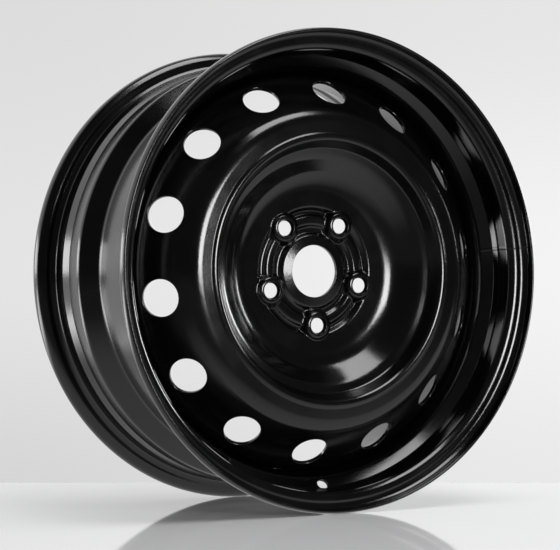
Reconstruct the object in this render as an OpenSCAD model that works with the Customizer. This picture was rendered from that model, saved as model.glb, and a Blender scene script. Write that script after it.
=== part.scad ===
// Steel disc wheel for a passenger car: a rolled rim, a pressed disc and the
// welds that join them. Millimetres. The axle runs along Y, the outboard face
// looks along -Y, Z is up, and the origin lies on the axle midway between the
// rim's flanges.
//
// Both sheets are drawn as the formed metal is: one face of the sheet is a line
// of straight runs and bends, and the other face follows it at the thickness.
// A profile point is [distance from the axle, distance outboard of the origin].

/* [Rim] */

// Diameter of the bead seats where they meet the flanges
seat_d = 436.6; // [430:0.1:444]
// Width between the tyre faces of the flanges
rim_w = 177.8; // [170:0.1:190]
// Thickness of the rim sheet
rim_t = 2.5; // [2:0.1:3]

/* [Flanges and bead seats] */

// Height of the flanges above the bead seats
flange_h = 17.3; // [16.5:0.1:19]
// Radius of the flange's curl, on the tyre side
curl_r = 10; // [8:0.5:10.5]
// How far the curl turns back past the top of the flange, in degrees
lip_turn = 24; // [10:1:40]
// Flat run on top of the curl
lip_flat = 0.6; // [0.2:0.1:1.5]
// Straight run from the curl to the rounded edge of the sheet
lip_run = 1; // [0.4:0.1:2]
// Radius between flange and bead seat
heel_r = 6.5; // [4:0.5:7.5]
// Taper of the bead seats, in degrees
seat_taper = 5; // [4:0.5:6]
// Width of the bead seats, up to the humps
seat_w = 16; // [15:0.5:18]
// Height of the humps that keep the beads on their seats
hump_h = 1.3; // [0.8:0.1:1.8]
// Width of a hump's rise, and of its fall
hump_w = 3.4; // [3:0.2:5]
// Bend radius at the humps
hump_r = 4; // [3.5:0.5:5]

/* [Well] */

// Depth of the well below the bead seats
well_depth = 17.5; // [16.5:0.5:20]
// Outboard flange to the near end of the well's floor
well_lead = 51.9; // [49:0.1:55]
// Width of the well's floor
well_w = 55.5; // [50:0.5:60]
// Fall of the outboard wall before its ramp starts
wall_drop = 10; // [9:0.5:12]
// Slope of the outboard wall, in degrees from the axle
wall_slope = 48; // [44:1:60]
// Slope of the ramp between the outboard wall and the floor, in degrees
ramp_slope = 20; // [16:1:26]
// Width of the long rise from the ledge behind the well to the inboard hump
rise_w = 11.6; // [9:0.2:14]
// Slope of the inboard wall, in degrees from the axle
rear_slope = 40; // [36:1:46]
// Bend radius in the well
well_r = 8; // [6:0.5:10]

/* [Disc] */

// Thickness of the disc sheet
disc_t = 3.8; // [3:0.1:4.5]
// Mounting face to the rim's middle, the wheel's offset
offset = 43; // [39:0.5:47]
// Length of the flange that fits the rim's well
flange_w = 24; // [20:1:28]
// Gap between the disc's flange and the well, all round
flange_fit = 0.1; // [0:0.05:0.3]
// Radius of the shoulder between the vented cone and the flange
shoulder_r = 18; // [12:1:22]
// Slope of the vented cone, in degrees from the axle
cone_slope = 41; // [38:1:44]

/* [Crown and bowl] */

// Radius of the crown's sharp inner ring
crown_ring = 131.5; // [128:0.5:135]
// Height of that ring above the mounting face
crown_h = 48.5; // [46:0.5:52]
// Bend radius of the ring
crown_r = 4.5; // [4.5:0.5:7]
// Width of the fall outside the ring
groove_w = 5; // [4:0.5:7]
// Depth of the groove outside the ring
groove_h = 3.2; // [1.5:0.1:4]
// Slope of the crown outside the groove, in degrees from the wheel's plane
crown_slope = 10; // [6:1:14]
// Bend radius where the crown turns over to the vented cone
brow_r = 26; // [20:1:30]
// Width of the bowl's lip, inside the ring
bowl_lip = 5.5; // [5:0.5:8]
// Fall of the lip, from the ring to the bowl's wall
bowl_lip_drop = 0.9; // [0.5:0.1:2]
// Bend radius between the lip and the wall
bowl_r = 9; // [7:0.5:10]
// Radius at the foot of the bowl's wall
bowl_foot = 82; // [78:0.5:86]
// Height of that foot above the hub land
bowl_foot_h = 4.7; // [3.5:0.1:6.5]
// Bend radius at the foot
foot_r = 22; // [12:1:26]

/* [Hub] */

// Centre bore that fits over the car's hub
bore_d = 65.1; // [60:0.1:67]
// Depth of that bore
bore_depth = 4.2; // [3.5:0.1:5]
// Clear opening in the lip that closes the bore
lip_d = 51.8; // [46:0.2:54]
// Rise of the lip towards its opening, in degrees
lip_slope = 9; // [0:1:12]
// Bevel at the bore's mouth
bore_bevel = 0.8; // [0.4:0.1:1.2]
// Width of the bore's closing lip, measured past the bore's wall
neck_wall = 3; // [2.5:0.1:3.5]
// Inner foot of the raised ring between the bolt holes
ring_in = 43.8; // [43:0.1:44.5]
// Outer foot of the raised ring
ring_out = 57.5; // [56.5:0.5:59]
// Rise of the raised ring above the hub land
ring_h = 3.4; // [2.4:0.1:3.8]
// Outer edge of the flat hub land
land_edge = 64.5; // [63.5:0.5:66]
// Bend radius of the pressed steps, on the hollow side
step_r = 3; // [2:0.5:3.5]

/* [Bolt holes] */

// Number of bolt holes
bolt_n = 5; // [4:1:6]
// Diameter of the bolt circle
bolt_circle = 108; // [106:0.5:110]
// Diameter of the bolt holes
bolt_d = 14.7; // [13.5:0.1:15.5]
// Turn of the bolt circle seen from the front, in degrees
bolt_turn = 57.4; // [0:0.1:72]
// Included angle of the bolt seats
seat_angle = 60; // [60:5:90]
// Depth of the bolt seats
seat_depth = 3; // [2:0.1:3.4]
// Rise of a bolt boss above the hub land
boss_h = 8; // [6.5:0.1:8.5]
// Diameter of the boss across its rim
boss_d = 25; // [23:0.5:27]
// Slope of the boss wall, in degrees from the bolt's line
boss_slope = 30; // [20:1:35]

/* [Vents] */

// Number of vent holes
vent_n = 14; // [10:1:15]
// Diameter of the vent holes
vent_d = 35.5; // [28:0.5:37]
// Diameter of the circle through the vents' middles
vent_circle = 359.4; // [356:0.2:362]
// Height of the vents' middles above the mounting face
vent_rise = 20; // [18:0.1:22]
// Turn of the vents seen from the front, in degrees
vent_turn = 9.1; // [0:0.1:25.7]

/* [Valve hole] */

// Diameter of the valve hole
valve_d = 11.3; // [10:0.1:12]
// Place of the valve hole round the rim, in degrees
valve_turn = 271.3; // [0:0.1:360]
// Distance of its middle below the top of the outboard wall
valve_drop = 4; // [3.5:0.1:5]

/* [Welds] */

// Number of weld runs
weld_n = 8; // [4:1:10]
// Length of a run, in degrees of the rim
weld_arc = 28; // [20:1:34]
// Leg of a weld along each sheet
weld_leg = 3.4; // [2.5:0.1:3.8]

/* [Hidden] */

$fn = 180;
bend_step = 9;
past = 1;
// How far a boss is sunk below the face that it rises from
sink = 0.1;

// Rim, seen on the tyre side
seat_r = seat_d / 2;
lip_r = seat_r + flange_h;
face_h = rim_w / 2;
curl_reach = curl_r * tan(lip_turn / 2);
curl_h = face_h + curl_r + lip_flat + curl_reach;
hump_foot = [seat_r - seat_w * tan(seat_taper), face_h - seat_w];
hump_top = hump_foot + [hump_h, -hump_w];
ledge = hump_foot + [-hump_h / 2, -2 * hump_w];
well_front = face_h - well_lead;
well_rear = well_front - well_w;
well_out = seat_r - well_depth;
well_in = well_out - rim_t;
ramp_top = [ledge[0] - wall_drop, well_front + (ledge[0] - wall_drop - well_out) / tan(ramp_slope)];
wall_top = ramp_top + wall_drop * [1, 1 / tan(wall_slope)];
ledge_front = well_rear - (ledge[0] - well_out) / tan(rear_slope);

// Disc, its heights stacked on the mounting face
land = offset + disc_t;
ring_top = land + ring_h;
boss_top = land + boss_h;
bore_top = offset + bore_depth;
neck = [
    bore_d / 2 + neck_wall,
    bore_top + disc_t / cos(lip_slope) - neck_wall * tan(lip_slope)
];
neck_foot = neck[0] + neck[1] - land;
// The lip is drawn a little short of the axle and cut back to its opening
lip_edge = neck + (neck_wall + (bore_d - lip_d) / 2 + past) * [-1, tan(lip_slope)];
crown = offset + crown_h;
groove = [crown_ring + groove_w, crown - groove_h];
vent = [vent_circle / 2, offset + vent_rise];
cone_way = [sin(cone_slope), -cos(cone_slope)];
brow = meet(groove, [cos(crown_slope), -sin(crown_slope)], vent, cone_way);
flange_r = well_in - flange_fit;
shoulder = meet(vent, cone_way, [flange_r, 0], [0, 1]);
flange_end = shoulder[1] - flange_w;
crest_r = disc_t + 0.4;
boss_foot = boss_d / 2 + boss_h * tan(boss_slope);

// Black paint, sprayed on after welding, so every piece has it
paint = "#17181a";

function unit(v) = v / norm(v);
function left_of(d) = [-d[1], d[0]];
function swung(d, a) = [d[0] * cos(a) - d[1] * sin(a), d[0] * sin(a) + d[1] * cos(a)];

// Where the line through p along u crosses the line through q along v
function meet(p, u, q, v) = p + u * cross(q - p, v) / cross(u, v);

// A profile's corners are [radius, height, bend radius]: the place of corner i,
// and the direction from it to the next
function place(c, i) = [c[i][0], c[i][1]];
function way(c, i) = unit(place(c, i + 1) - place(c, i));

// The bend at corner i: points of the drawn face, each with its direction
function bend(c, i) =
    let (d = way(c, i - 1), e = way(c, i), r = c[i][2])
    let (turn = atan2(cross(d, e), d * e), side = sign(turn))
    let (hub = place(c, i) - d * r * tan(abs(turn) / 2) + left_of(d) * side * r)
    let (steps = ceil(abs(turn) / bend_step))
    [for (k = [0 : steps]) let (w = swung(d, turn * k / steps)) [hub - left_of(w) * side * r, w]];

// The whole drawn face, from the first corner to the last
function face(c) =
    let (last = len(c) - 1)
    concat(
        [[place(c, 0), way(c, 0)]],
        [for (i = [1 : last - 1]) each bend(c, i)],
        [[place(c, last), way(c, last - 1)]]
    );

// The point behind one of the drawn face, on the sheet's other face
function behind(p, t) = p[0] - left_of(p[1]) * t;

// Outline of a sheet that lies to the right of its drawn face
function sheet(f, t) = concat(
    [for (p = f) p[0]],
    [for (i = [len(f) - 1 : -1 : 0]) behind(f[i], t)]
);

// Half circle that rounds a sheet's edge, from its drawn face to its other face
function rounded(p, t) = [
    for (a = [30 : 30 : 150]) p[0] - left_of(p[1]) * t / 2 + swung(left_of(p[1]), -a) * t / 2
];

// The same outline with both of its edges rounded
function rolled_sheet(f, t) =
    let (last = len(f) - 1)
    concat(
        [for (p = f) p[0]],
        rounded(f[last], t),
        [for (i = [last : -1 : 0]) behind(f[i], t)],
        rounded([behind(f[0], t), -f[0][1]], t)
    );

// One flange and bead seat, from the lip to the hump's inner foot
lip_corner = [lip_r, curl_h, curl_r];
lip_end = [lip_r, curl_h] + (curl_reach + lip_run) * [-sin(lip_turn), cos(lip_turn)];
bead_side = [
    lip_end,
    lip_corner,
    [lip_r, face_h, curl_r],
    [seat_r, face_h, heel_r],
    [hump_foot[0], hump_foot[1], hump_r],
    [hump_top[0], hump_top[1], hump_r]
];

function mirrored(c) = [for (i = [len(c) - 1 : -1 : 0]) [c[i][0], -c[i][1], c[i][2]]];

rim_corners = concat(
    bead_side,
    [
        [wall_top[0], wall_top[1], hump_r],
        [ramp_top[0], ramp_top[1], well_r],
        [well_out, well_front, well_r],
        [well_out, well_rear, well_r],
        [ledge[0], ledge_front, well_r],
        [ledge[0], rise_w - hump_top[1], hump_r]
    ],
    mirrored(bead_side)
);

// The neck's solid root around the centre bore, up into the middle of the sheet
neck_root = [
    [bore_d / 2 + bore_bevel, offset],
    [neck_foot, offset],
    [neck_foot, land - disc_t / 2],
    [bore_d / 2, bore_top + disc_t / 2],
    [bore_d / 2, offset + bore_bevel]
];

disc_corners = [
    lip_edge,
    [neck[0], neck[1], crest_r],
    [neck_foot, land, step_r],
    [ring_in, land, step_r],
    [ring_in + ring_h, ring_top, crest_r],
    [ring_out - ring_h, ring_top, crest_r],
    [ring_out, land, step_r],
    [land_edge, land, step_r],
    [bowl_foot, land + bowl_foot_h, foot_r],
    [crown_ring - bowl_lip, crown - bowl_lip_drop, bowl_r],
    [crown_ring, crown, crown_r],
    [groove[0], groove[1], step_r],
    [brow[0], brow[1], brow_r],
    [shoulder[0], shoulder[1], shoulder_r],
    [flange_r, flange_end]
];

// Stands the axle along Y with the outboard face towards -Y
module upright() {
    rotate([90, 0, 0]) children();
}

// Copies its children n times round the axle
module round_axle(n, turn) {
    for (i = [0 : n - 1]) rotate(turn + i * 360 / n) children();
}

module rim() {
    color(paint) upright() difference() {
        rotate_extrude() polygon(rolled_sheet(face(rim_corners), rim_t));
        valve_hole();
    }
}

module valve_hole() {
    middle = wall_top - valve_drop * [1, 1 / tan(wall_slope)];
    rotate(valve_turn)
        translate([middle[0], 0, middle[1]])
        rotate([0, 90 + wall_slope, 0])
        cylinder(d = valve_d, h = 6 * rim_t, center = true);
}

module disc() {
    color(paint) upright() difference() {
        union() {
            rotate_extrude() union() {
                polygon(sheet(face(disc_corners), disc_t));
                polygon(neck_root);
            }
            round_axle(bolt_n, bolt_turn) translate([bolt_circle / 2, 0, 0]) boss();
        }
        round_axle(bolt_n, bolt_turn) translate([bolt_circle / 2, 0, 0]) bolt_hole();
        round_axle(vent_n, vent_turn) vent_hole();
        cylinder(d = lip_d, h = boss_top);
    }
}

// Pressed boss round a bolt hole, solid until bolt_hole() hollows its back
module boss() {
    foot = land - sink;
    corners = [
        [0, boss_top],
        [boss_d / 2, boss_top, crest_r],
        [boss_foot, foot, step_r],
        [boss_foot + step_r, foot]
    ];
    rotate_extrude() polygon(concat(
        [for (p = face(corners)) p[0]],
        [[boss_foot + step_r, land - disc_t / 2], [0, land - disc_t / 2]]
    ));
}

// Clear hole, conical seat and the hollow behind the boss
module bolt_hole() {
    seat_grow = tan(seat_angle / 2);
    hollow_r = boss_foot - disc_t / cos(boss_slope);
    hollow_h = boss_h;
    translate([0, 0, offset]) cylinder(d = bolt_d, h = boss_top - offset);
    translate([0, 0, boss_top - seat_depth]) cylinder(
        r1 = bolt_d / 2,
        r2 = bolt_d / 2 + (seat_depth + past) * seat_grow,
        h = seat_depth + past
    );
    translate([0, 0, offset - past]) cylinder(
        r1 = hollow_r + (disc_t + past) * tan(boss_slope),
        r2 = hollow_r + (disc_t - hollow_h) * tan(boss_slope),
        h = hollow_h + past
    );
}

module vent_hole() {
    translate([vent[0], 0, vent[1]])
        rotate([0, 90 - cone_slope, 0])
        cylinder(d = vent_d, h = 8 * disc_t, center = true);
}

// Quarter-round runs in the corner between the disc's flange and the well
module weld_beads() {
    root = [well_in, flange_end];
    bead = concat([root], [for (a = [180 : 15 : 270]) root + weld_leg * [cos(a), sin(a)]]);
    color(paint) upright()
        round_axle(weld_n, valve_turn)
        rotate_extrude(angle = weld_arc) polygon(bead);
}

rim();
disc();
weld_beads();
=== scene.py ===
"""Looks of the steel wheel: smooth skins for the frame's rim and disc, black paint, a pale studio.

Lengths are millimetres until world() turns them into the frame's metres. A place on the wheel is
(r, phi, h): distance from the axle, angle seen from the front, distance outboard of the middle.
"""
import math

import bpy
import numpy as np
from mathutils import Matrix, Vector

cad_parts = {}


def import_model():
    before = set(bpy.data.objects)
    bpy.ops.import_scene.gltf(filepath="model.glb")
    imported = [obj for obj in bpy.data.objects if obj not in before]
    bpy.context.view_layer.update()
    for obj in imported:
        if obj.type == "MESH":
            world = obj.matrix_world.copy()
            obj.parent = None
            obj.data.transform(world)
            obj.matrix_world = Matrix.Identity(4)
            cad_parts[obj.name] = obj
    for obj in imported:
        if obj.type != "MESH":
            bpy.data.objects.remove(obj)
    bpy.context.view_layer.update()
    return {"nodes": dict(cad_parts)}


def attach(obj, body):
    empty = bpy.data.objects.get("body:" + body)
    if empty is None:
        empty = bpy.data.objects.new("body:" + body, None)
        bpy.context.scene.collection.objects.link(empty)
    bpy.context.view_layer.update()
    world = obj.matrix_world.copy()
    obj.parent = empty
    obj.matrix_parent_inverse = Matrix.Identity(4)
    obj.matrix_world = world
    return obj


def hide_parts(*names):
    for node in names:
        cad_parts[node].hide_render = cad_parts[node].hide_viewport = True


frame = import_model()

# Sizes of the wheel
SEAT_R, RIM_W, RIM_T = 218.3, 177.8, 2.5
FLANGE_H, CURL_R, LIP_TURN, LIP_FLAT, LIP_RUN, HEEL_R = 17.3, 10.0, 24.0, 0.6, 1.0, 6.5
SEAT_TAPER, SEAT_W, HUMP_H, HUMP_W, HUMP_R = 5.0, 16.0, 1.3, 3.4, 4.0
WELL_DEPTH, WELL_LEAD, WELL_W, WALL_DROP, WALL_SLOPE = 17.5, 51.9, 55.5, 10.0, 48.0
RAMP_SLOPE, RISE_W, REAR_SLOPE, WELL_R = 20.0, 11.6, 40.0, 8.0

DISC_T, OFFSET, FLANGE_W, FLANGE_FIT, SHOULDER_R, CONE_SLOPE = 3.8, 43.0, 24.0, 0.1, 18.0, 41.0
BORE_R, BORE_DEPTH, BORE_BEVEL, LIP_R, LIP_SLOPE, NECK_WALL = 32.55, 4.2, 0.8, 25.9, 9.0, 3.0
RING_IN, RING_OUT, RING_H, STEP_R = 43.8, 57.5, 3.4, 3.0

BOLT_N, BOLT_CIRCLE_R, BOLT_R, BOLT_TURN = 5, 54.0, 7.35, 57.4
SEAT_SLOPE, SEAT_DEPTH, BOSS_H, BOSS_R, BOSS_SLOPE = 30.0, 3.0, 8.0, 12.5, 30.0
BROW_END = 160.0      # radius at which the cone with the vents begins
VENT_N, VENT_R, VENT_CIRCLE_R, VENT_RISE, VENT_TURN = 14, 17.75, 179.7, 20.0, 9.1
VALVE_R, VALVE_TURN, VALVE_DROP = 5.65, 271.3, 4.0
VENT_REACH, VALVE_REACH = 21.0, 7.5      # half length of the patch that holds a hole
SEAM_TURN = 7.0       # degrees above +X at which the hoop's butt weld lies

# The bowl and the crown as their highlights show them, where the solids are plainer.
BOWL = [
    (60.3, 46.8, 1.5),       # step round the land
    (64.3, 51.3, 4.0),
    (91.0, 52.6, 32.0),      # foot of the wall
    (112.5, 72.8, 25.0),     # shelf
    (121.0, 76.6, 4.0),
]
CROWN = [
    (128.9, 92.0, 5.6),      # ring
    (135.4, 88.1, 2.0),      # groove outside the ring
    (153.0, 87.15, 22.0),    # brow
]

TURNS = 210           # segments round the axle: a multiple of both the vents and the bolts
BEND_STEP = 6.0       # degrees of bend from one row of points to the next
EDGE_R = 0.4          # rounding of cut edges under the paint
CREST_R = DISC_T + 0.4   # bend round a crest, so that the face behind keeps a small one


# Profiles
def tan(a):
    return math.tan(math.radians(a))


def unit(v):
    return v / np.linalg.norm(v)


def left_of(d):
    return np.stack([-d[..., 1], d[..., 0]], -1)


def swung(d, a):
    c, s = math.cos(a), math.sin(a)
    return np.array([d[0] * c - d[1] * s, d[0] * s + d[1] * c])


def cross(a, b):
    return a[0] * b[1] - a[1] * b[0]


def meet(p, u, q, v):
    return p + u * cross(q - p, v) / cross(u, v)


class Line:
    """A drawn face: points (r, h), the unit normal at each, and the length along it."""

    def __init__(self, p, n):
        self.p, self.n = np.array(p, float), np.array(n, float)
        self.s = np.r_[0, np.cumsum(np.linalg.norm(np.diff(self.p, axis=0), axis=1))]

    def at(self, s):
        """Point and normal at the lengths s."""
        p = np.stack([np.interp(s, self.s, self.p[:, k]) for k in (0, 1)], -1)
        n = np.stack([np.interp(s, self.s, self.n[:, k]) for k in (0, 1)], -1)
        return p, n / np.linalg.norm(n, axis=-1, keepdims=True)

    def way(self, s):
        """Direction in which the line runs at the length s."""
        a, b = self.at(np.array([s - 0.5, s + 0.5]))[0]
        return unit(b - a)

    def where(self, r):
        """Length at which the line crosses the radius r."""
        return float(np.interp(r, self.p[:, 0], self.s))

    def nearest(self, q):
        """Length of the point that lies nearest to q."""
        s = np.linspace(self.s[0], self.s[-1], 20001)
        return float(s[np.linalg.norm(self.at(s)[0] - q, axis=1).argmin()])

    def cut(self, s0, s1):
        """The stretch from s0 to s1, in that order."""
        lo, hi = min(s0, s1), max(s0, s1)
        inner = self.s[(self.s > lo + 1e-4) & (self.s < hi - 1e-4)]
        s = np.r_[lo, inner, hi]
        p, n = self.at(s if s0 <= s1 else s[::-1])
        return Line(p, n)

    def behind(self, t):
        """The sheet's other face at the thickness t, in the same order."""
        return Line(self.p - self.n * t, -self.n)


def bent(corners, step=BEND_STEP):
    """Line of straight runs and round bends through corners (r, h, bend radius)."""
    c = [np.array(k[:2], float) for k in corners]
    d = unit(c[1] - c[0])
    pts, ways = [c[0]], [d]
    for i in range(1, len(c) - 1):
        d, e = unit(c[i] - c[i - 1]), unit(c[i + 1] - c[i])
        turn = math.atan2(cross(d, e), d @ e)
        r, side = corners[i][2], math.copysign(1, turn)
        hub = c[i] - d * r * math.tan(abs(turn) / 2) + left_of(d) * side * r
        steps = max(2, math.ceil(abs(math.degrees(turn)) / step))
        for k in range(steps + 1):
            w = swung(d, turn * k / steps)
            pts.append(hub - left_of(w) * side * r)
            ways.append(w)
    pts.append(c[-1])
    ways.append(unit(c[-1] - c[-2]))
    return Line(pts, left_of(np.array(ways)))


def joined(*lines):
    return Line(np.vstack([k.p for k in lines]), np.vstack([k.n for k in lines]))


# Skins
def world(r, phi, h):
    r, phi, h = np.broadcast_arrays(r, phi, h)
    return np.stack([r * np.cos(phi), -h, r * np.sin(phi)], -1) / 1000


def world_way(nr, nphi, nh, phi):
    nr, nphi, nh, phi = np.broadcast_arrays(nr, nphi, nh, phi)
    c, s = np.cos(phi), np.sin(phi)
    return np.stack([nr * c - nphi * s, -nh, nr * s + nphi * c], -1)


def quads(a):
    """The four corners of every cell of a grid of vectors."""
    return np.stack([a[:-1, :-1], a[1:, :-1], a[1:, 1:], a[:-1, 1:]], 2).reshape(-1, 4, 3)


class Skin:
    """Quads with their own corner normals, gathered from grids and joined where points meet."""

    def __init__(self):
        self.p, self.n = [], []

    def grid(self, p, n):
        p, n = np.broadcast_arrays(p, n)
        p, n = quads(p), quads(n)
        face = np.cross(p[:, 2] - p[:, 0], p[:, 3] - p[:, 1])
        flip = (face * n.sum(1)).sum(1) < 0
        p[flip], n[flip] = p[flip][:, ::-1], n[flip][:, ::-1]
        self.p.append(p)
        self.n.append(n)

    def turned(self, line, phi):
        """A line turned round the axle through the angles phi."""
        r, h = line.p[:, 0, None], line.p[:, 1, None]
        nr, nh = line.n[:, 0, None], line.n[:, 1, None]
        self.grid(world(r, phi[None], h), world_way(nr, 0.0, nh, phi[None]))

    def mesh(self, name):
        p, n = np.concatenate(self.p), np.concatenate(self.n)
        n = n / np.linalg.norm(n, axis=-1, keepdims=True)
        key = np.round(p.reshape(-1, 3) * 1e6).astype(np.int64)
        _, first, index = np.unique(key, axis=0, return_index=True, return_inverse=True)
        me = bpy.data.meshes.new(name)
        me.from_pydata(p.reshape(-1, 3)[first].tolist(), [], index.reshape(-1, 4).tolist())
        me.shade_smooth()
        me.normals_split_custom_set(n.reshape(-1, 3).tolist())
        obj = bpy.data.objects.new(name, me)
        bpy.context.scene.collection.objects.link(obj)
        return obj


def circle(n=TURNS, start=0.0, sweep=360.0):
    return np.radians(start + np.linspace(0, sweep, n + 1))


def framed(phi0, phi1, m, t0, t1, q):
    """Points (phi, t) round a rectangle, closed, with m steps along phi and q along t."""
    a, b = np.linspace(phi0, phi1, m + 1), np.linspace(t0, t1, q + 1)
    low, high = np.full(m, t0), np.full(m, t1)
    phi = np.r_[a[:-1], np.full(q, phi1), a[:0:-1], np.full(q, phi0), a[0]]
    t = np.r_[low, b[:-1], high, b[:0:-1], t0]
    return phi, t


def drop_on(line, s_mid, a, b):
    """(phi, s) of the points that lie at (a, b) in the tangent plane of the line's turned face."""
    c, u = line.at(np.array([s_mid]))[0][0], line.way(s_mid)
    s = s_mid + b
    for _ in range(12):
        p, _n = line.at(s)
        cosine = np.sqrt(1 - (a / p[..., 0]) ** 2)
        got = (p[..., 0] * cosine - c[0]) * u[0] + (p[..., 1] - c[1]) * u[1]
        s = s + (b - got)
    p, _n = line.at(s)
    return np.arcsin(a / p[..., 0]), s


def pierced(skin, line, s0, s1, s_mid, hole_r, edge_r, phi_mid, half, m, q, rings):
    """A face with a round hole square to it. Returns the last ring of the hole's rounded edge."""
    phi, s = framed(-half, half, m, s0, s1, q)
    (c, _n) = line.at(np.array([s_mid]))
    beta = np.arctan2(s - s_mid, phi * c[0, 0])
    start_r = hole_r + edge_r
    rim_phi, rim_s = drop_on(line, s_mid, start_r * np.cos(beta), start_r * np.sin(beta))
    t = (np.linspace(0, 1, rings + 1) ** 1.5)[:, None]
    g_phi, g_s = rim_phi * (1 - t) + phi * t, rim_s * (1 - t) + s * t
    p, n = line.at(g_s)
    places = world(p[..., 0], phi_mid + g_phi, p[..., 1])
    normals = world_way(n[..., 0], 0.0, n[..., 1], phi_mid + g_phi)
    skin.grid(places, normals)
    start, up = places[0], normals[0]
    (c, n) = line.at(np.array([s_mid]))
    axis = world_way(n[0, 0], 0.0, n[0, 1], phi_mid)
    u = line.way(s_mid)
    along = world_way(u[0], 0.0, u[1], phi_mid)
    across = world_way(0.0, 1.0, 0.0, phi_mid)
    out = np.cos(beta)[:, None] * across + np.sin(beta)[:, None] * along
    turn = np.radians(np.linspace(0, 90, 6))[:, None, None]
    e = edge_r / 1000
    p = start - e * np.sin(turn) * out - e * (1 - np.cos(turn)) * axis
    skin.grid(p, np.cos(turn) * up - np.sin(turn) * out)
    return p[-1], -out


# Rim
face_h = RIM_W / 2
lip_r = SEAT_R + FLANGE_H
curl_reach = CURL_R * tan(LIP_TURN / 2)
curl_h = face_h + CURL_R + LIP_FLAT + curl_reach
hump_foot = np.array([SEAT_R - SEAT_W * tan(SEAT_TAPER), face_h - SEAT_W])
hump_top = hump_foot + [HUMP_H, -HUMP_W]
ledge = hump_foot + [-HUMP_H / 2, -2 * HUMP_W]
well_front = face_h - WELL_LEAD
well_rear = well_front - WELL_W
well_out = SEAT_R - WELL_DEPTH
well_in = well_out - RIM_T
ramp_r = ledge[0] - WALL_DROP
ramp_top = np.array([ramp_r, well_front + (ramp_r - well_out) / tan(RAMP_SLOPE)])
wall_top = ramp_top + WALL_DROP * np.array([1, 1 / tan(WALL_SLOPE)])
ledge_front = well_rear - (ledge[0] - well_out) / tan(REAR_SLOPE)
lip_way = swung(np.array([0.0, 1.0]), math.radians(LIP_TURN))

bead_side = [
    (*(np.array([lip_r, curl_h]) + (curl_reach + LIP_RUN) * lip_way), 0),
    (lip_r, curl_h, CURL_R),
    (lip_r, face_h, CURL_R),
    (SEAT_R, face_h, HEEL_R),
    (*hump_foot, HUMP_R),
    (*hump_top, HUMP_R),
]
rim_corners = bead_side + [
    (*wall_top, HUMP_R),
    (*ramp_top, WELL_R),
    (well_out, well_front, WELL_R),
    (well_out, well_rear, WELL_R),
    (ledge[0], ledge_front, WELL_R),
    (ledge[0], RISE_W - hump_top[1], HUMP_R),
] + [(r, -h, k) for r, h, k in bead_side[::-1]]


def rounded_end(p, n, t):
    """Half circle round a sheet's edge, from the point p of its drawn face to the other face."""
    a = -np.radians(np.linspace(0, 180, 11))
    ways = np.array([swung(n, k) for k in a])
    return Line(p - n * t / 2 + ways * t / 2, ways)


def make_rim():
    skin = Skin()
    tyre_side = bent(rim_corners)
    axle_side = tyre_side.behind(RIM_T)
    skin.turned(rounded_end(tyre_side.p[-1], tyre_side.n[-1], RIM_T), circle())
    skin.turned(rounded_end(axle_side.p[0], axle_side.n[0], RIM_T), circle())

    # the outboard wall carries the valve hole
    middle = wall_top - VALVE_DROP * np.array([1, 1 / tan(WALL_SLOPE)])
    square = unit(np.array([1, -tan(WALL_SLOPE)]))
    rows, patch, step = 8, 6, 360 / TURNS
    first = VALVE_TURN - patch * step / 2
    whole = circle(TURNS, first)
    rest = circle(TURNS - patch, first + patch * step, 360 - patch * step)
    half = math.radians(patch * step / 2)
    turn = math.radians(VALVE_TURN)
    walls = []
    for line, depth in ((tyre_side, 0), (axle_side, RIM_T)):
        mid = line.nearest(middle - depth * square)
        a, b = mid - VALVE_REACH, mid + VALVE_REACH
        skin.turned(line.cut(0, a), whole)
        skin.turned(line.cut(b, line.s[-1]), whole)
        s = np.linspace(a, b, rows + 1)
        skin.turned(Line(*line.at(s)), rest)
        walls.append(pierced(skin, line, a, b, mid, VALVE_R, EDGE_R, turn, half, patch, rows, 5))
    match_walls(skin, walls)
    return skin.mesh("rim_skin")


def match_walls(skin, walls):
    """The wall of a hole, between the last rings of its two edge roundings."""
    (p, n), (q, _m) = walls
    order = [int(np.linalg.norm(q - k, axis=1).argmin()) for k in p]
    skin.grid(np.stack([p, q[order]]), np.stack([n, n]))


# Disc
land = OFFSET + DISC_T
ring_top = land + RING_H
boss_top = land + BOSS_H
bore_top = OFFSET + BORE_DEPTH
lip_face = bore_top + DISC_T / math.cos(math.radians(LIP_SLOPE))
neck = np.array([BORE_R + NECK_WALL, lip_face - NECK_WALL * tan(LIP_SLOPE)])
lip_edge = neck + (neck[0] - LIP_R) * np.array([-1, tan(LIP_SLOPE)])
neck_foot = neck[0] + neck[1] - land
vent = np.array([VENT_CIRCLE_R, OFFSET + VENT_RISE])
cone_way = np.array([math.sin(math.radians(CONE_SLOPE)), -math.cos(math.radians(CONE_SLOPE))])
brow = np.array([BROW_END, vent[1] + (VENT_CIRCLE_R - BROW_END) * tan(CONE_SLOPE)])
flange_r = well_in - FLANGE_FIT
shoulder = meet(vent, cone_way, np.array([flange_r, 0.0]), np.array([0.0, 1.0]))
flange_end = shoulder[1] - FLANGE_W
boss_foot = BOSS_R + BOSS_H * tan(BOSS_SLOPE)

# corners (r, h, bend radius) of the pressed face, from the lip outwards
disc_corners = [
    (*lip_edge, 0),
    (*neck, CREST_R),
    (neck_foot, land, STEP_R),
    (RING_IN, land, STEP_R),
    (RING_IN + RING_H, ring_top, CREST_R),
    (RING_OUT - RING_H, ring_top, CREST_R),
    (RING_OUT, land, STEP_R),
    *BOWL,
    *CROWN,
    (*brow, 20.0),
    (*shoulder, SHOULDER_R),
    (flange_r, flange_end, 0),
]
BLEND = 2.6           # how softly a boss runs into the face around it
HUB_IN, HUB_OUT = 34.0, 79.0     # the bosses lie between these radii
BACK_IN = 37.0


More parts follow.
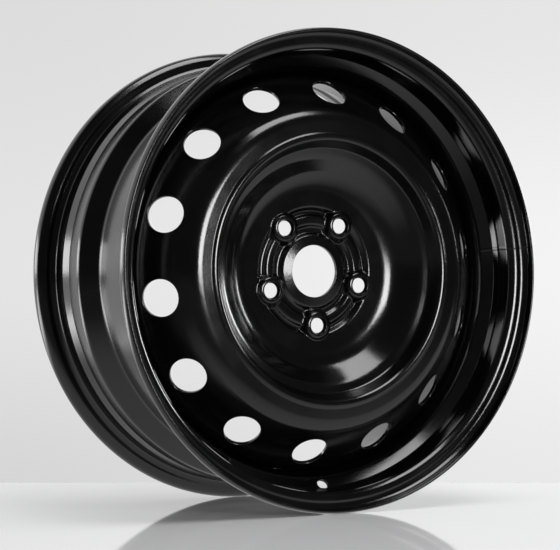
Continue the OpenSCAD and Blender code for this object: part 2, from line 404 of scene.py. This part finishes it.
def profile(line):
    """Height and slope against radius, for a line that runs outwards."""
    line = line.cut(0, line.where(HUB_OUT + 10))
    r, h = line.p[:, 0], line.p[:, 1]
    slope = -line.n[:, 0] / line.n[:, 1]
    return lambda x: (np.interp(x, r, h), np.interp(x, r, slope))


def blended_top(base, boss, r, phi):
    """Height and its slopes along x and z where a boss stands on the turned base at phi = 0."""
    x, z = r * np.cos(phi), r * np.sin(phi)
    dx, dz = x - BOLT_CIRCLE_R, z
    rho = np.hypot(dx, dz)
    h0, g0 = base(r)
    h1, g1 = boss(rho)
    w = np.clip(0.5 + 0.5 * (h1 - h0) / BLEND, 0, 1)
    h = h0 + (h1 - h0) * w + BLEND * w * (1 - w)
    safe = np.maximum(rho, 1e-6)
    gx = (1 - w) * g0 * x / r + w * g1 * dx / safe
    gz = (1 - w) * g0 * z / r + w * g1 * dz / safe
    return h, gx, gz


def bossed(skin, base, boss, side, r_in, r_out, start_r, rings, q):
    """One face of the land between two radii, with a boss round every bolt hole.

    side is 1 for the outboard face and -1 for the one behind.
    """
    m = TURNS // BOLT_N
    half = math.pi / BOLT_N
    phi, r = framed(-half, half, m, r_in, r_out, q)
    bx, bz = r * np.cos(phi), r * np.sin(phi)
    beta = np.arctan2(bz, bx - BOLT_CIRCLE_R)
    hx, hz = BOLT_CIRCLE_R + start_r * np.cos(beta), start_r * np.sin(beta)
    t = (np.linspace(0, 1, rings + 1) ** 1.15)[:, None]
    x, z = hx * (1 - t) + bx * t, hz * (1 - t) + bz * t
    g_r, g_phi = np.hypot(x, z), np.arctan2(z, x)
    g_r[-1], g_phi[-1] = r, phi
    h, gx, gz = blended_top(base, boss, g_r, g_phi)
    nr = -(gx * np.cos(g_phi) + gz * np.sin(g_phi)) * side
    nphi = -(-gx * np.sin(g_phi) + gz * np.cos(g_phi)) * side
    for k in range(BOLT_N):
        mid = math.radians(BOLT_TURN + 360 * k / BOLT_N)
        skin.grid(world(g_r, mid + g_phi, h), world_way(nr, nphi, side * 1.0, mid + g_phi))
    return beta


def bolt_seats(skin, betas, rho0, h_front, h_back):
    """Cone seat, straight hole and its two rounded edges, between the land's two faces."""
    seat_r0 = BOLT_R + SEAT_DEPTH * tan(SEAT_SLOPE)
    line = bent([
        (rho0, h_front, 0),
        (seat_r0, h_front, EDGE_R),
        (BOLT_R, h_front - SEAT_DEPTH, EDGE_R),
        (BOLT_R, h_back, 0.2),
        (rho0, h_back, 0),
    ], 30)
    line = Line(line.p, -line.n)
    for k in range(BOLT_N):
        turn = math.radians(BOLT_TURN + 360 * k / BOLT_N)
        c = np.array([BOLT_CIRCLE_R * math.cos(turn), BOLT_CIRCLE_R * math.sin(turn)])
        ways = np.stack([np.cos(betas + turn), np.sin(betas + turn)], -1)
        x = c[0] + line.p[:, 0, None] * ways[None, :, 0]
        z = c[1] + line.p[:, 0, None] * ways[None, :, 1]
        h = np.broadcast_to(line.p[:, 1, None], x.shape)
        nh = np.broadcast_to(-line.n[:, 1, None], x.shape)
        n_out = line.n[:, 0, None]
        n = np.stack([n_out * ways[None, :, 0], nh, n_out * ways[None, :, 1]], -1)
        skin.grid(np.stack([x, -h, z], -1) / 1000, n)


def make_disc():
    skin = Skin()
    front = bent(disc_corners)
    back = front.behind(DISC_T)
    whole = circle(TURNS, BOLT_TURN + 36)

    # hub: the lip, the land with its bosses, and the way on to the vents
    boss = bent([
        (0, boss_top, 0),
        (BOSS_R, boss_top, CREST_R),
        (boss_foot + 4 * tan(BOSS_SLOPE), land - 4, 0),
    ])
    s_in, s_out = front.where(HUB_IN), front.where(HUB_OUT)
    seat_r = BOLT_R + SEAT_DEPTH * tan(SEAT_SLOPE) + 0.4
    betas = bossed(skin, profile(front), profile(boss), 1, HUB_IN, HUB_OUT, seat_r, 30, 36)
    bolt_seats(skin, betas, seat_r, boss_top, boss_top - DISC_T)
    skin.turned(front.cut(front.where(LIP_R + 1.5), s_in), whole)

    hollow_r = boss_foot - DISC_T / math.cos(math.radians(BOSS_SLOPE))
    hollow_top = hollow_r + (DISC_T - BOSS_H) * tan(BOSS_SLOPE)
    hollow = bent([
        (0, OFFSET + BOSS_H, 0),
        (hollow_top, OFFSET + BOSS_H, 1.0),
        (hollow_top + 12 * tan(BOSS_SLOPE), OFFSET + BOSS_H - 12, 0),
    ])
    root = Line([(BORE_R, OFFSET), (neck_foot, OFFSET)], [(0, 1), (0, 1)])
    past_root = back.cut(back.where(neck_foot + 0.3), back.s[-1])
    base_back = joined(root, Line(past_root.p, -past_root.n))
    bossed(skin, profile(base_back), profile(hollow), -1, BACK_IN, HUB_OUT, seat_r, 14, 36)

    bore = bent([
        (BACK_IN, OFFSET, 0),
        (BORE_R + BORE_BEVEL, OFFSET, 0.2),
        (BORE_R, OFFSET + BORE_BEVEL, 0.2),
        (BORE_R, bore_top, 0.3),
        (LIP_R, lip_edge[1] - DISC_T, EDGE_R),
        (*lip_edge, EDGE_R),
        (LIP_R + 1.5, lip_edge[1] - 1.5 * tan(LIP_SLOPE), 0),
    ], 15)
    skin.turned(Line(bore.p, bore.n), whole)

    # cone with its vents
    vents = circle(TURNS, VENT_TURN + 180 / VENT_N)
    half, patch = math.pi / VENT_N, TURNS // VENT_N
    walls = []
    for line, depth, edge in ((front, 0, 1.0), (back, DISC_T, 0.6)):
        mid = line.nearest(vent - depth * left_of(cone_way))
        a, b = mid - VENT_REACH, mid + VENT_REACH
        skin.turned(line.cut(line.where(HUB_OUT), a), whole)
        skin.turned(line.cut(b, line.s[-1]), vents)
        for k in range(VENT_N):
            turn = math.radians(VENT_TURN + 360 * k / VENT_N)
            walls.append(pierced(skin, line, a, b, mid, VENT_R, edge, turn, half, patch, 12, 5))
    for k in range(VENT_N):
        match_walls(skin, [walls[k], walls[k + VENT_N]])

    # cut edge of the flange
    end = bent([
        (flange_r, flange_end + 1, 0),
        (flange_r, flange_end, EDGE_R),
        (flange_r - DISC_T, flange_end, EDGE_R),
        (flange_r - DISC_T, flange_end + 1, 0),
    ], 15)
    skin.turned(end, vents)
    return skin.mesh("disc_skin")


rim = make_rim()
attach(rim, "root")
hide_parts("rim")
disc = make_disc()
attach(disc, "root")
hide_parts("disc")


# Camera
EYE = (-0.934, -1.564, -0.051)
PITCH, HEADING = 91.52, -30.6      # degrees: up from straight down, and left from +Y
LENS = 115.09


def make_camera():
    data = bpy.data.cameras.new("camera")
    data.lens = LENS
    data.sensor_width = 36.0
    data.clip_end = 50.0
    cam = bpy.data.objects.new("camera", data)
    cam.location = EYE
    cam.rotation_euler = (math.radians(PITCH), 0.0, math.radians(HEADING))
    bpy.context.scene.collection.objects.link(cam)
    bpy.context.scene.camera = cam


make_camera()


# Nodes
class Nodes:
    """Short way to write a node tree."""

    def __init__(self, tree):
        self.tree = tree
        tree.nodes.clear()

    def add(self, kind, *inputs, out=0, **settings):
        node = self.tree.nodes.new("ShaderNode" + kind)
        for key, value in settings.items():
            setattr(node, key, value)
        for socket, value in zip(node.inputs, inputs):
            if value is None:
                continue
            if isinstance(value, bpy.types.NodeSocket):
                self.tree.links.new(value, socket)
            else:
                socket.default_value = value
        return node.outputs[out] if node.outputs else None

    def dot(self, at, way):
        return self.add("VectorMath", at, way, operation="DOT_PRODUCT", out=1)

    def math(self, operation, *inputs):
        return self.add("Math", *inputs, operation=operation)

    def ramp(self, x, stops):
        node = self.tree.nodes.new("ShaderNodeValToRGB")
        node.color_ramp.interpolation = "EASE"
        while len(node.color_ramp.elements) < len(stops):
            node.color_ramp.elements.new(0.5)
        for element, (at, value) in zip(node.color_ramp.elements, stops):
            element.position, element.color = at, grey(value)
        self.tree.links.new(x, node.inputs[0])
        return node.outputs[0]

    def fit(self, x, low, high, to_low=0.0, to_high=1.0):
        return self.add("MapRange", x, low, high, to_low, to_high, interpolation_type="SMOOTHSTEP")

    def mix(self, t, a, b):
        return self.add("MixRGB", t, a, b)


def grey(v):
    return (v, v, v, 1)


# Paint
PEEL_SCALE, PEEL_H = 420.0, 3.4e-5       # waves in a metre, height in metres
GRAIN_SCALE, GRAIN_H = 1500.0, 6e-6
SHEEN = (0.13, 0.18)                     # roughness, from the smoothest to the dullest spots
SEAM_H = 2.5e-4
SCALES, SCALE_H = 420.0, 1.5e-4          # radians of ripple in one of the wheel, height in metres


def around(n, at):
    """Angle about the axle in radians, 0 at +X and rising towards +Z."""
    x, z = n.add("SeparateXYZ", at, out=0), n.add("SeparateXYZ", at, out=2)
    return n.math("ARCTAN2", z, x)


def black_paint(name, shape=None):
    """Baked black paint with its orange peel. shape(n, at) adds a height in metres."""
    mat = bpy.data.materials.new(name)
    mat.use_nodes = True
    n = Nodes(mat.node_tree)
    at = n.add("TexCoord", out=3)
    peel = n.add("TexNoise", at, None, PEEL_SCALE, 2.0, 0.5)
    grain = n.add("TexNoise", at, None, GRAIN_SCALE, 1.0, 0.5)
    height = n.math("MULTIPLY_ADD", grain, GRAIN_H, n.math("MULTIPLY", peel, PEEL_H))
    if shape:
        height = n.math("ADD", height, shape(n, at))
    sheen = n.fit(n.add("TexNoise", at, None, 30.0, 3.0, 0.5), 0.3, 0.7, *SHEEN)
    shader = n.add("BsdfPrincipled").node
    shader.inputs["Base Color"].default_value = (0.0012, 0.0012, 0.0014, 1)
    shader.inputs["IOR"].default_value = 1.58
    n.tree.links.new(sheen, shader.inputs["Roughness"])
    bump = n.add("Bump").node
    bump.inputs["Distance"].default_value = 1.0
    n.tree.links.new(height, bump.inputs["Height"])
    n.tree.links.new(bump.outputs[0], shader.inputs["Normal"])
    n.add("OutputMaterial", shader.outputs[0])
    return mat


def seam(n, at):
    """The hoop's butt weld, a low ridge across the strip."""
    off = n.math("SUBTRACT", around(n, at), math.radians(SEAM_TURN))
    return n.fit(n.math("ABSOLUTE", off), 0.003, 0.009, SEAM_H, 0.0)


def ripple(n, at):
    """Scales along an arc weld."""
    return n.math("MULTIPLY", n.math("SINE", n.math("MULTIPLY", around(n, at), SCALES)), SCALE_H)


paints = (
    (rim, black_paint("rim_paint", seam)),
    (disc, black_paint("disc_paint")),
    (frame["nodes"]["weld_beads"], black_paint("weld_paint", ripple)),
)
for piece, mat in paints:
    piece.data.materials.clear()
    piece.data.materials.append(mat)


# Stage
FLOOR_Z = -0.2356
FLOOR_BACK = 2.07                 # metres from the camera to the floor's far edge
FLOOR_SIDE, FLOOR_FRONT = 3.0, 2.0
AHEAD = (0.5, 0.86, 0.0)          # level directions: away from the camera, to its right
ACROSS = (0.861, -0.509, 0.0)
# TO_STRIP and BY_STRIP place the painted reflection of the strip light on the board.
TO_STRIP = (-0.82, 0.57, 0.0)     # towards the strip light at the back left, and square to that
BY_STRIP = (0.57, 0.82, 0.0)


def board_with_painted_glow():
    """White gloss board.

    In the paint it is seen as a glow of painted light: painted shade in front of the wheel, painted
    light behind it, and a painted reflection of the strip light.
    """
    mat = bpy.data.materials.new("floor")
    mat.use_nodes = True
    n = Nodes(mat.node_tree)
    at = n.add("TexCoord", out=3)
    # painted shade and light: the board glows dimly in front of the wheel and brighter behind it
    near = n.fit(n.dot(at, AHEAD), -0.55, -0.1, 0.12, 0.65)
    away = n.dot(at, TO_STRIP)
    spread = n.math("DIVIDE", n.math("ABSOLUTE", n.dot(at, BY_STRIP)), away)
    # painted reflection of the strip light, glowing on the board
    strip = n.math("MULTIPLY", n.fit(away, 0.45, 0.9, 0.0, 6.0), n.fit(spread, 0.25, 0.5, 1.0, 0.0))
    glow = n.add("Emission", n.math("ADD", near, strip), 1.0)
    board = n.add("BsdfPrincipled")
    board.node.inputs["Base Color"].default_value = (0.64, 0.64, 0.65, 1)
    board.node.inputs["Roughness"].default_value = 0.05
    board.node.inputs["IOR"].default_value = 1.12
    # glossy rays, as from the wheel's paint, see the painted glow; all other rays see the board
    glossy = n.add("LightPath", out=3)
    n.add("OutputMaterial", n.add("MixShader", glossy, board, glow))
    return mat


def make_floor():
    turn = math.radians(HEADING)
    ahead = np.array([-math.sin(turn), math.cos(turn)])
    side = FLOOR_SIDE * np.array([math.cos(turn), math.sin(turn)])
    eye = np.array(EYE[:2])
    far, near = eye + ahead * FLOOR_BACK, eye - ahead * FLOOR_FRONT
    corners = [near - side, near + side, far + side, far - side]
    me = bpy.data.meshes.new("floor")
    me.from_pydata([(x, y, FLOOR_Z) for x, y in corners], [], [(0, 1, 2, 3)])
    me.materials.append(board_with_painted_glow())
    floor = bpy.data.objects.new("floor", me)
    bpy.context.scene.collection.objects.link(floor)


def make_world():
    """Pale backdrop behind the wheel, dark studio in front of it, plain light on matt surfaces."""
    studio = bpy.data.worlds.new("studio")
    bpy.context.scene.world = studio
    studio.use_nodes = True
    n = Nodes(studio.node_tree)
    way = n.add("TexCoord", out=0)
    height = n.add("SeparateXYZ", way, out=2)
    up = n.add("MapRange", height, -0.12, 0.18)
    left = n.ramp(up, [(0.05, 0.665), (0.5, 0.775), (1.0, 0.72)])
    right = n.ramp(up, [(0.05, 0.81), (0.5, 0.90), (1.0, 0.785)])
    seen = n.mix(n.fit(n.dot(way, ACROSS), -0.16, 0.16), left, right)
    behind = n.fit(n.add("SeparateXYZ", way, out=1), 0.0, 0.45, 0.05, 1.15)
    high = n.fit(height, 0.75, 0.95, 1.0, 0.45)
    mirrored = n.add("MixRGB", 1.0, behind, high, blend_type="MULTIPLY")
    camera, glossy = n.add("LightPath", out=0), n.add("LightPath", out=3)
    light = n.mix(glossy, grey(0.28), mirrored)
    n.add("OutputWorld", n.add("Background", n.mix(camera, light, seen), 1.0))


def soft_box(name, az, el, distance, width, height, glow):
    """Rectangle of light that faces the wheel.

    az is 0 in front and 90 on the right, el is the height, width and height are how large the box
    looks from the wheel, all in degrees. distance is in metres.
    """
    a, e = math.radians(az), math.radians(el)
    at = distance * Vector((math.cos(e) * math.sin(a), -math.cos(e) * math.cos(a), math.sin(e)))
    data = bpy.data.lights.new(name, "AREA")
    data.shape = "RECTANGLE"
    data.size = 2 * distance * tan(width / 2)
    data.size_y = 2 * distance * tan(height / 2)
    data.energy = glow * math.pi * data.size * data.size_y
    box = bpy.data.objects.new(name, data)
    box.location = at
    box.rotation_euler = (-at).to_track_quat("-Z", "Y").to_euler()
    bpy.context.scene.collection.objects.link(box)


make_floor()
make_world()
soft_box("back_left", -125, 6, 2.4, 40, 11, 6)
soft_box("front_right", 5, 7, 2.4, 19, 16, 17)
soft_box("side_right", 86, 11, 2.4, 22, 13, 16)
soft_box("overhead", 18, 72, 2.2, 26, 40, 6.2)
bpy.context.scene.view_settings.view_transform = "Standard"
